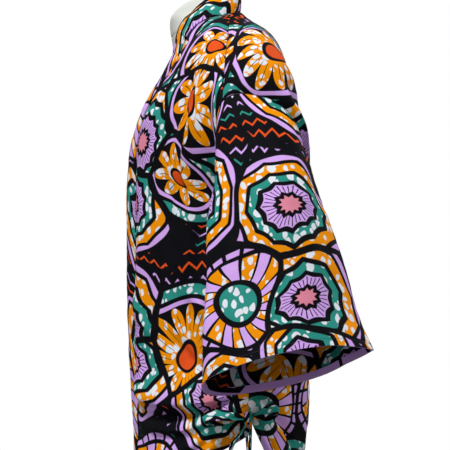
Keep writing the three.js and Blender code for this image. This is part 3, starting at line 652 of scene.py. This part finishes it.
front = {"across": 66, "down": 200, "cut": (0.26, 0.83), "area": 0.164, "strong": 1.35, "folds": [
    # u, v at both ends, then the bow, the width on each side and the height, in mm
    (0.62, 0.10, 0.58, 0.60, -9, 26, 8, 8), (0.50, 0.12, 0.46, 0.54, 5, 8, 15, -5),
    (0.82, 0.10, 0.80, 0.44, -6, 12, 14, -4), (0.18, 0.20, 0.12, 0.46, 5, 12, 14, 2.5),
    (0.03, 0.802, 0.97, 0.836, 18, 36, 7, 13), (0.05, 0.842, 0.97, 0.843, 20, 7, 16, -8),
    (0.20, 0.872, 0.96, 0.850, 24, 15, 6, 9), (0.10, 0.955, 0.95, 0.865, 22, 18, 7, 8),
    (0.62, 1.0, 0.97, 0.88, 8, 11, 6, 6), (0.62, 0.60, 0.98, 0.84, -12, 16, 9, 6.5),
    (0.45, 0.68, 0.97, 0.84, 10, 9, 13, -4.5), (0.82, 0.62, 0.99, 0.83, -4, 9, 12, -3.5),
    (0.20, 0.50, 0.16, 0.78, 7, 18, 14, 4), (0.56, 0.58, 0.60, 0.80, -6, 12, 18, -4.5),
    (0.78, 0.40, 0.72, 0.72, 9, 14, 9, 5), (0.03, 0.90, 0.30, 0.99, -8, 8, 14, 4),
    (0.05, 0.62, 0.34, 0.70, 6, 14, 9, 3), (0.92, 0.38, 0.66, 0.50, 6, 8, 12, -3),
    (0.95, 0.39, 0.72, 0.58, 8, 8, 10, 3), (0.55, 0.93, 0.97, 0.89, 6, 7, 8, -3)]}
back = {"across": 176, "down": 200, "cut": (0.66, 0.83), "area": 0.395, "strong": 1.35, "folds": [
    (0.90, 0.11, 0.86, 0.37, 6, 14, 20, 7), (0.74, 0.10, 0.66, 0.42, -6, 16, 18, -5),
    (0.55, 0.10, 0.50, 0.34, 5, 14, 18, 3), (0.30, 0.50, 0.26, 1.0, -10, 18, 28, 7),
    (0.72, 0.99, 0.975, 0.83, -9, 8, 15, 8), (0.50, 0.92, 0.96, 0.82, 9, 8, 14, -6.5),
    (0.10, 0.44, 0.12, 0.98, 9, 14, 24, -5.5), (0.62, 0.60, 0.96, 0.82, -6, 9, 17, 6.5),
    (0.84, 0.96, 0.985, 0.845, 5, 6, 8, -5), (0.02, 0.30, 0.05, 0.62, 6, 16, 20, 4),
    (0.36, 0.78, 0.93, 0.815, 16, 17, 9, 5), (0.80, 0.86, 0.98, 0.835, 4, 6, 9, 4),
    (0.93, 0.40, 0.70, 0.52, 8, 9, 12, 3.5), (0.90, 0.43, 0.76, 0.60, 6, 8, 11, -3),
    (0.46, 0.58, 0.44, 0.86, 7, 18, 15, 3.5)]}
sleeve = {"around": 170, "down": 110, "cut": (0.62, 0.42), "area": 0.188, "strong": 1.5, "folds": [
    (0.10, 0.25, 0.13, 1.0, 8, 18, 28, 6), (0.21, 0.35, 0.25, 1.0, -8, 16, 24, -6),
    (0.90, 0.06, 0.87, 1.0, 6, 14, 20, -5.5), (0.99, 0.06, 0.95, 0.7, 6, 14, 20, 2.5),
    (0.30, 0.3, 0.33, 1.0, 5, 14, 22, 4.5), (0.42, 0.04, 0.46, 0.9, 9, 16, 22, -5),
    (0.80, 0.04, 0.80, 0.55, -6, 12, 18, 4), (0.68, 0.0, 0.66, 0.42, 5, 11, 15, -3.5),
    (0.52, 0.02, 0.53, 0.62, -6, 15, 18, 3.5), (0.60, 0.06, 0.57, 0.8, 6, 16, 20, 4),
    (0.72, 0.15, 0.75, 1.0, -6, 16, 22, -3), (0.05, 0.05, 0.02, 0.5, 5, 12, 16, -2.5)]}
bandRows = table("v aside ahead rise",
    (0, -46, -10, 0), (0.13, -47, -11, 0), (0.26, -47, -14, 0), (0.38, -47, -17, 0), (0.5, -47, -17, 0),
    (0.58, -46, -13, 1), (0.65, -46, -5, 4), (0.72, -46, -4, 8), (0.79, -43, -7, 12),
    (0.85, -34, -12, 28), (0.9, -13, -7, 44), (0.95, -6, -6, 45), (1, 0, -9, 45))
turnedHem = 15.0
ventShare = 0.15  # of the back's length, up to the ties
shapes = {}  # each piece's finished points, for its hem and stitches


def stations(count, ends):
    return np.linspace(ends, 1 - ends, count)


def halfFront(u, v):
    return clearOfForm(panelPoints(shoulderSeam, frontRows, frontSideRows, u, v), restGap + clothThick / 2)


def halfBack(u, v):
    return clearOfForm(panelPoints(backTop, backRows, backSideRows, u, v), restGap + clothThick / 2)


print("fronts")
u, v = stations(front["across"], 0.0015), stations(front["down"], 0.0005)
base = halfFront(u, v)
plan = flatPlan(base)
for side, name in ((1, "left_front"), (-1, "right_front")):
    p = dress(base, plan, front["folds"], 11 + side, front["strong"])
    p = clearOfForm(p, restGap)
    shapes[name] = p
    q, thisPlan = forSide(side, p, plan)
    obj = shell(name + "_cloth", q, thisPlan, cloths[name], clothThick, nodes=[name])

print("back")
half = stations(back["across"] // 2, 0.001)
half = np.concatenate([-half[::-1], half])
v = stations(back["down"], 0.0005)
q = halfBack(np.abs(half), v)
base = np.where((half < 0)[None, :, None], mirror(q), q)[:, ::-1]  # from the wearer's left to the right
plan = flatPlan(base)
bothFolds = []
# the wearer's right has folds like the left's, a little moved and wider
for u0, v0, u1, v1, bow, left, right, high in back["folds"]:
    bothFolds.append((0.5 - u0 / 2, v0, 0.5 - u1 / 2, v1, bow, left, right, high))
    start, end = (0.5 + u0 * 0.97 / 2, v0 + 0.01), (0.5 + u1 * 0.985 / 2, min(v1 + 0.01, 1))
    bothFolds.append((*start, *end, -bow * 1.2, right, left, high * 0.9))
p = dress(base, plan, bothFolds, 31, back["strong"])
p = clearOfForm(p, restGap)
shapes["back"] = p
obj = shell("back_cloth", p, plan, cloths["back"], clothThick, nodes=["back"])

print("sleeves")


def sleevePoints(u, v):  # columns run round from the underarm over the back to the top and down the front
    degrees = 180 - u * 360
    start, end = loopPoint(armhole, degrees), loopPoint(cuff, degrees)
    outer = ((1 + np.cos(np.radians(degrees))) / 2)[:, None]
    behind = np.maximum(np.sin(np.radians(degrees)), 0)[:, None]
    long = np.linalg.norm(end - start, axis=1)[:, None]
    way = unit(np.concatenate([mix(0.8, 0.5, outer), 0.3 * behind, mix(-0.6, -0.86, outer)], 1))
    leave = way * long * mix(0.45, 1, outer)
    return hermite(start[None], leave[None], end[None], (end - start)[None], v[:, None, None])


u = np.arange(sleeve["around"]) / sleeve["around"]
v = np.linspace(0.004, 1, sleeve["down"])
base = sleevePoints(u, v)[:, ::-1]
closed = np.concatenate([base, base[:, :1]], 1)
plan = flatPlan(closed)
plan[..., 0] -= plan[:, -1:, 0] / 2
for side, name in ((1, "left_sleeve"), (-1, "right_sleeve")):
    rise = crease(plan, sleeve["folds"], sleeve["strong"]) + ripple(plan, 51 + side, clothRipple)
    # the two ends of the strip meet under the arm, so the folds fade out there
    off = np.linspace(0, 1, plan.shape[1])
    rise = rise * ease(np.minimum(off, 1 - off) / 0.04)[None, :]
    rise = intoSeam(rise, plan[..., 1] - plan[:1, :, 1], 25, 0.05, 0.8)
    p = base + gridNormals(base, True) * rise[:, :-1, None]
    shapes[name] = p
    q, thisPlan = forSide(side, p, plan)
    obj = shell(name + "_cloth", q, thisPlan, cloths[name], clothThick, looped=True, nodes=[name])

print("neckband")
neckband = {"thick": 2.4, "wide": 48.0, "cut": (0.05, 1.87), "front": 0.9, "swell": 5, "folds": [
    (0.2, 0.12, 0.9, 0.16, 3, 8, 10, 1.5), (0.1, 0.80, 0.9, 0.76, 3, 9, 9, -1.5),
    (0.8, 0.40, 0.2, 0.43, 2, 7, 8, 1.6), (0.2, 0.58, 0.8, 0.61, 2, 7, 8, -1.4)]}
bandClear = restGap + neckband["thick"] / 2


def bandPoints(u, v):  # half the band, from the foot of a front up to the middle of the neck
    onFront = neckband["front"]
    place = np.clip(1 - v / onFront, 0, 1)
    low = panelPoints(shoulderSeam, frontRows, frontSideRows, np.zeros(1), place)[:, 0]
    up = backTop(neckShare * (1 - np.clip((v - onFront) / (1 - onFront), 0, 1)))
    seam = clearOfForm(np.where((v <= onFront)[:, None], low, up), bandClear)
    reach = np.stack([readTable(bandRows, "v", k, v) for k in ("aside", "ahead", "rise")], -1)
    out = unit(np.cross(np.gradient(seam, axis=0), reach))
    swell = out[:, None] * (neckband["swell"] * np.sin(math.pi * u))[None, :, None]
    return clearOfForm(seam[:, None] + reach[:, None] * u[None, :, None] + swell, bandClear)


u = np.linspace(0.02, 1, 15)
v = np.linspace(0, 1, 330)
q = bandPoints(u, v)
base = np.concatenate([q, mirror(q)[-2::-1]])[:, ::-1]
plan = flatPlan(base)
plan[..., 0] = (1 - u)[None, ::-1] * neckband["wide"]
rise = ripple(plan, 71, 0.7, 150) + crease(plan, neckband["folds"])
p = clearOfForm(base + gridNormals(base) * rise[..., None], restGap + 0.3)
obj = shell("neckband_cloth", p, plan, cloths["neckband"], neckband["thick"], nodes=["neckband"])

print("turned hems")


def stripInside(name, p, plan, looped=False, thick=0.7):  # the hem's turned edge, on the wrong side
    inner = p - gridNormals(p, looped) * (clothThick / 2 + thick / 2 + 0.15)
    shell(name, inner, plan * np.array([1, -1]), cloths["turned_hem"], thick, looped=looped)


def lastRows(p, millimetres):
    down = np.linalg.norm(np.diff(p, axis=0), axis=-1).mean(1)[::-1].cumsum()
    return int(np.searchsorted(down, millimetres)) + 1


rows = lastRows(shapes["left_sleeve"], turnedHem)
for side, name in ((1, "left_sleeve"), (-1, "right_sleeve")):
    p = shapes[name][-rows:]
    closed = np.concatenate([p, p[:, :1]], 1)
    q, strip = forSide(side, p, flatPlan(closed, 0))
    stripInside(name + "_hem", q, strip, looped=True)
for name in ("left_front", "right_front", "back"):
    rows = lastRows(shapes[name], turnedHem)
    p = shapes[name][-rows:, 1:-1]
    q, strip = forSide(-1 if name == "right_front" else 1, p, flatPlan(p, 0))
    stripInside(name + "_hem", q, strip)

# the back's vent edges are turned in too
rows = int(ventShare * back["down"])
for side, name in ((1, "left_vent_edge"), (-1, "right_vent_edge")):
    p = shapes["back"][-rows:-2, 1:5] if side > 0 else shapes["back"][-rows:-2, -5:-1]
    stripInside(name, p, flatPlan(p, 0))

print("stitches")
stitch = {"step": 3.4, "bandStep": 3.8, "long": 2.3, "thick": 0.55, "aboveFoot": 12}
stitchFace = clothThick / 2 + 0.1  # from the middle of the cloth to the middle of a stitch


def pointsAt(path, run, places):
    return np.stack([np.interp(places, run, path[:, k]) for k in range(3)], -1)


def stitchRow(name, path, normal, step):  # little raised stitches along a path, joined in one mesh
    long, thick = stitch["long"], stitch["thick"]
    run = np.concatenate([[0], np.cumsum(np.linalg.norm(np.diff(path, axis=0), axis=1))])
    marks = np.arange(step / 2, run[-1] - step / 2, step)
    centre, up = pointsAt(path, run, marks), unit(pointsAt(normal, run, marks))
    way = unit(pointsAt(path, run, marks + 1.0) - pointsAt(path, run, marks - 1.0))
    side = unit(np.cross(up, way))
    ring = [(math.cos(a), math.sin(a)) for a in np.radians([0, 60, 120, 180, 240, 300])]
    verts, faces = [], []
    for end, size in ((-0.5, 0.35), (-0.32, 1.0), (0.32, 1.0), (0.5, 0.35)):
        for c, s in ring:
            lift = up * (s * size * thick * 0.35)
            verts.append(centre + way * end * long + side * c * size * thick * 0.5 + lift)
    verts = np.stack(verts, 1)
    for k in range(3):
        for j in range(6):
            faces.append((k * 6 + j, k * 6 + (j + 1) % 6, (k + 1) * 6 + (j + 1) % 6, (k + 1) * 6 + j))
    block = np.array(faces)
    caps = np.array([[0, 5, 4, 3, 2, 1], [18, 19, 20, 21, 22, 23]])
    allFaces = [list(f) for n in range(len(marks)) for f in (*(block + 24 * n), *(caps + 24 * n))]
    addPiece(name, (verts.reshape(-1, 3) / 1000).tolist(), allFaces, threadDark)


def rowAbove(p, up, looped):  # a path on the cloth's face, this far above its foot
    n = gridNormals(p, looped)
    i = p.shape[0] - lastRows(p, up)
    path, normal = p[i], n[i]
    if looped:
        path, normal = np.concatenate([path, path[:1]]), np.concatenate([normal, normal[:1]])
    return path + normal * stitchFace, normal


for name in ("left_sleeve", "right_sleeve", "left_front", "right_front", "back"):
    path, normal = rowAbove(shapes[name], stitch["aboveFoot"], looped="sleeve" in name)
    if "right" in name:
        path, normal = mirror(path), mirror(normal)
    stitchRow(name + "_hem_stitches", path, normal, stitch["step"])
for side, word in ((1, "left"), (-1, "right")):
    p = shapes[word + "_front"]
    flipX, normal = np.array([side, 1, 1]), gridNormals(p)[:, 1]
    path = (p[:, 1] + normal * stitchFace) * flipX
    stitchRow(word + "_band_stitches", path, normal * flipX, stitch["bandStep"])

print("ties")
tie = {"thick": 1.0, "wide": 20}
knot = {"x": 204.6, "y": 57, "drop": 640, "deep": 12, "wide": 15, "tall": 17}
heart = at(knot["x"], knot["y"], knot["drop"])


def loopRibbon(aim, long, gape, tilt, seed):  # out from the knot, round, and back into it
    aim = unit(np.array(aim, float))
    out = unit(np.array([1, 0, 0]) - aim * aim[0])
    up = np.cross(aim, out)
    v = np.linspace(0, 1, 110)[:, None]
    u = np.linspace(-0.5, 0.5, 15)[None, :]
    along = (1 - np.cos(2 * math.pi * v)) / 2
    off = np.sin(2 * math.pi * v) * gape * (0.35 + 0.65 * along) + 1.15 * np.cos(math.pi * v)
    wide = tie["wide"] * mix(0.42, 1, ease(along * 1.9))
    rng = np.random.default_rng(seed)
    gathers = np.sin(u * 2 * math.pi * 1.6 + rng.uniform(0, 6)) * 1.5 * (1 - ease(along * 1.3))
    pleat = gathers + np.sin(u * 5 + v * 9) * 0.7 * along
    rise = off + pleat * np.sign(off)
    turn = math.radians(tilt) * ease(along * 1.6) + 0.16 * np.sin(v * 7 + seed)
    across = u * wide * np.sin(turn) + rise * np.cos(turn)
    lift = u * wide * np.cos(turn) - rise * np.sin(turn) - 4.5 * along ** 2
    reach = along * long + 1.6 * u * along - 5 * (2 * u) ** 2 * along ** 3  # the turn of the loop is rounded
    foot = heart + aim * (knot["wide"] / 2 + 0.4)
    return foot + reach[..., None] * aim + across[..., None] * out + lift[..., None] * up


def surfaceOf(name):
    mesh = bpy.data.objects[name].data
    corners = [v.co.copy() for v in mesh.vertices]
    return BVHTree.FromPolygons(corners, [tuple(f.vertices) for f in mesh.polygons])


# bends a loop outward until it lies on the cloth beneath, both of its layers alike
def restOnCloth(q, side, beneath):
    clear = 1.6  # mm from the cloth's face to the middle of the ribbon
    outside, nearest = 0.262, 0.1  # x in metres where the search for cloth starts and ends
    need = np.zeros(q.shape[0])
    for i, row in enumerate(q):
        for x, y, z in row / 1000:
            for cloth in beneath:
                hit = cloth.ray_cast(Vector((side * outside, y, z)), Vector((-side, 0, 0)))[0]
                if hit is not None and abs(hit.x) > nearest:
                    need[i] = max(need[i], clear - side * (x - hit.x) * 1000)
    away = np.abs(q[..., 1].mean(1) - heart[1])
    wanted = np.array([need[np.abs(away - a) < 7].max() for a in away])
    smooth = np.array([np.mean(wanted[np.abs(away - a) < 5]) for a in away])
    q = q.copy()
    q[..., 0] += side * np.maximum(smooth, need)[:, None]
    return q


def endRibbon(startY, endY, endX, foot, turn, sway):
    top = knot["drop"] + knot["tall"] / 2 * math.sqrt(1 - (2 * startY / knot["wide"]) ** 2) - 0.5
    v = np.linspace(0, 1, 60)[:, None]
    u = np.linspace(-0.5, 0.5, 9)[None, :]
    wide = tie["wide"] * mix(0.5, 0.85, ease(v * 3))
    a = math.radians(turn) + 0.2 * np.sin(v * 2.6)
    swing = sway * np.sin(math.pi * v) + 0.8 * np.sin(v * 11)
    x = knot["x"] + endX * v + u * wide * np.cos(a)
    middle = knot["y"] + mix(startY, endY, ease(v * 2.2)) + swing
    y = middle + u * wide * np.sin(a) + 1.5 * np.cos(u * 6) * (1 - v)
    z = neckHeight - mix(top, foot, v) + 0 * u
    return np.stack([x, y, z], -1)


def knotRings():  # a wrapped lump, pinched where the ribbon crosses it
    rows = []
    for t in np.linspace(0.04, math.pi - 0.04, 34):
        a = np.linspace(0, 2 * math.pi, 48, endpoint=False)
        folded = 0.10 * np.sin(3 * a + 2.2 * t) * np.sin(t) ** 2
        size = 1 + folded - 0.13 * np.exp(-((t - 1.2) / 0.12) ** 2) - 0.12 * np.exp(-((t - 2.0) / 0.1) ** 2)
        x = knot["deep"] / 2 * np.sin(t) * np.cos(a) * size
        y = knot["wide"] / 2 * np.sin(t) * np.sin(a) * size
        rows.append(np.stack([x, y, knot["tall"] / 2 * np.cos(t) * np.ones_like(a)], -1))
    return heart + np.array(rows)


def solid(name, rings, material, nodes, wrapped=False):  # closed smooth solid from rings, top first
    n, m = rings.shape[:2]
    verts = np.concatenate([rings.reshape(-1, 3), rings[0].mean(0)[None], rings[-1].mean(0)[None]]) / 1000
    i, j = np.meshgrid(np.arange(n - 1), np.arange(m), indexing="ij")
    k = (j + 1) % m
    quads = np.stack([i * m + j, (i + 1) * m + j, (i + 1) * m + k, i * m + k], -1).reshape(-1, 4).tolist()
    topFan = [[n * m, a, (a + 1) % m] for a in range(m)]
    footFan = [[n * m + 1, (n - 1) * m + (a + 1) % m, (n - 1) * m + a] for a in range(m)]
    faces = quads + topFan + footFan
    uv = None
    if wrapped:  # the cloth runs round the knot's own middle
        corners = verts[[vertex for face in faces for vertex in face]]
        off = corners - verts.mean(0)
        uv = np.stack([np.arctan2(off[:, 0], off[:, 1]) * 0.008, corners[:, 2]], -1)
    return addPiece(name, verts.tolist(), faces, material, nodes, uv, sharp=55)


for side, word in ((1, "left"), (-1, "right")):
    flipX = np.array([side, 1, 1])
    beneath = [surfaceOf(word + "_front_cloth"), surfaceOf("back_cloth")]
    ribbons = {
        "front_loop": (loopRibbon((0.06, -0.99, 0.05), 62, 7.5, -34, 3), (0.02, 0.131)),
        "back_loop": (loopRibbon((-0.12, 0.97, 0.16), 40, 8, 30, 4), (0.02, 0.090)),
        "front_end": (endRibbon(-3.6, -26, 4.5, 742, 8, 0.5), (0.017, 0.103)),
        "back_end": (endRibbon(3.2, 6, 2, 778, 3, -3), (0.017, 0.131)),
    }
    for label, (p, cut) in ribbons.items():
        looped = "loop" in label
        q = restOnCloth(p * flipX, side, beneath) if looped else p * flipX
        obj = shell(f"{word}_{label}_ribbon", q, flatPlan(p), cloths["tie"], tie["thick"],
                    nodes=[f"{word}_tie_{label}"])
    rings = knotRings() * flipX
    rings = rings if side > 0 else rings[:, ::-1]
    solid(f"{word}_bow_knot", rings, cloths["tie"], [f"{word}_tie_knot"], wrapped=True)

print("form and stand")
neckJoint = {"front": 39, "y": -66, "slope": 0.46, "deep": 1.1, "wide": 1.2}
formInset = 0.3
# closest together at the neck and the shoulders
drops = [np.linspace(-38, 0, 40), np.linspace(0, 60, 70), np.linspace(60, 630, 150)]
drops = np.unique(np.concatenate(drops))
angles = np.linspace(0, 2 * math.pi, 128, endpoint=False)
read = formAt(drops[:, None])
c, s = np.cos(angles)[None], np.sin(angles)[None]
reach = (np.abs(c) ** read["square"] + np.abs(s) ** read["square"]) ** (-1 / read["square"])
depth = np.where(s > 0, read["back"] - read["middle"], read["middle"] - read["front"])
height = neckHeight - drops[:, None] + 0 * c
rings = np.stack([read["wide"] * reach * c, read["middle"] + depth * reach * s, height], -1)
# the line where the neck is joined on
jointDrop = neckJoint["front"] - neckJoint["slope"] * (rings[..., 1] - neckJoint["y"])
offJoint = (neckHeight - rings[..., 2]) - jointDrop
groove = neckJoint["deep"] * np.exp(-(offJoint / neckJoint["wide"]) ** 2)
outward = unit(rings * np.array([1, 1, 0]) - np.array([0, -10, 0]))
rings = rings - outward * (groove + formInset)[..., None]
solid("form_shell", rings, formWhite, ["dress_form"])
for name in ("pole", "base"):
    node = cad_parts[name]
    node.data.materials.clear()
    node.data.materials.append(steel)

print("studio")
studio = {"above": 0.40, "below": 0.06, "floorWide": 1.15, "floorSeen": 0.9, "floorGiven": 0.3}
floorMesh = bpy.data.meshes.new("floor")
floorWide = studio["floorWide"]
turns = np.linspace(0, 2 * math.pi, 96, endpoint=False)
around = [(floorWide * math.cos(a), floorWide * math.sin(a), -0.0005) for a in turns]
floorMesh.from_pydata(around, [], [list(range(len(around)))])
floorMat = bpy.data.materials.new("floor")
floorMat.use_nodes = True
t = Tree(floorMat.node_tree)
shader = floorMat.node_tree.nodes["Principled BSDF"]
shader.inputs["Roughness"].default_value = 0.9
# pale to look at, but it throws little light back up under the cloth, and can't be seen from below
seen = t.node("ShaderNodeLightPath").outputs["Is Camera Ray"]
given, pale = ((g, g, g, 1) for g in (studio["floorGiven"], studio["floorSeen"]))
t.put(shader.inputs["Base Color"], t.blend(seen, given, pale))
away = t.vector("LENGTH", t.node("ShaderNodeTexCoord").outputs["Object"])
above = t.maths("SUBTRACT", 1.0, t.node("ShaderNodeNewGeometry").outputs["Backfacing"])
t.put(shader.inputs["Alpha"], t.maths("MULTIPLY", t.band(away, 1.14, 0.45), above))
floorMesh.materials.append(floorMat)
floorObj = bpy.data.objects.new("floor", floorMesh)
bpy.context.scene.collection.objects.link(floorObj)

world = bpy.data.worlds.new("studio")
bpy.context.scene.world = world
world.use_nodes = True
t = Tree(world.node_tree)
sky = world.node_tree.nodes["Background"]
sky.inputs[0].default_value = (1, 1, 1, 1)
# the backdrop is seen white, but lights the jacket less, and least from below
seen = t.node("ShaderNodeLightPath").outputs["Is Camera Ray"]
height = t.node("ShaderNodeSeparateXYZ")
t.put(height.inputs[0], t.node("ShaderNodeTexCoord").outputs["Generated"])
graded = t.band(height.outputs[2], -0.5, 0.7)
soft = t.maths("MULTIPLY_ADD", graded, studio["above"] - studio["below"], studio["below"])
t.put(sky.inputs[1], t.maths("MAXIMUM", seen, soft))


def setInPlace(obj, place, way):
    obj.location = place
    obj.rotation_mode = "QUATERNION"
    obj.rotation_quaternion = way.to_track_quat("-Z", "Y")
    bpy.context.scene.collection.objects.link(obj)


softboxes = {  # place, what it aims at, size and power
    "key": ((2.0, -0.85, 3.0), (0, 0, 0.6), 0.6, 76),
    "fill": ((0.9, -2.4, 1.0), (0, 0, 0.5), 1.6, 5),
    "rim": ((-2.0, -0.6, 2.2), (0, 0, 0.6), 1.4, 8),
    "behind": ((-0.9, 2.6, 2.0), (0, 0, 0.5), 1.8, 34),
}
for name, (place, aim, size, power) in softboxes.items():
    light = bpy.data.lights.new(name, "AREA")
    light.shape, light.size, light.energy = "SQUARE", size, power
    setInPlace(bpy.data.objects.new(name, light), place, Vector(aim) - Vector(place))

sight = {"place": (2.6, 0.021, 0.542), "seen": 0.7425, "sensor": 36}  # seen: metres across, at the form
camera = bpy.data.cameras.new("camera")
camera.sensor_width = sight["sensor"]
camera.lens = sight["sensor"] * sight["place"][0] / sight["seen"]
cameraObj = bpy.data.objects.new("camera", camera)
setInPlace(cameraObj, sight["place"], Vector((-1, 0, 0)))
bpy.context.scene.camera = cameraObj
bpy.context.scene.view_settings.view_transform = "Standard"
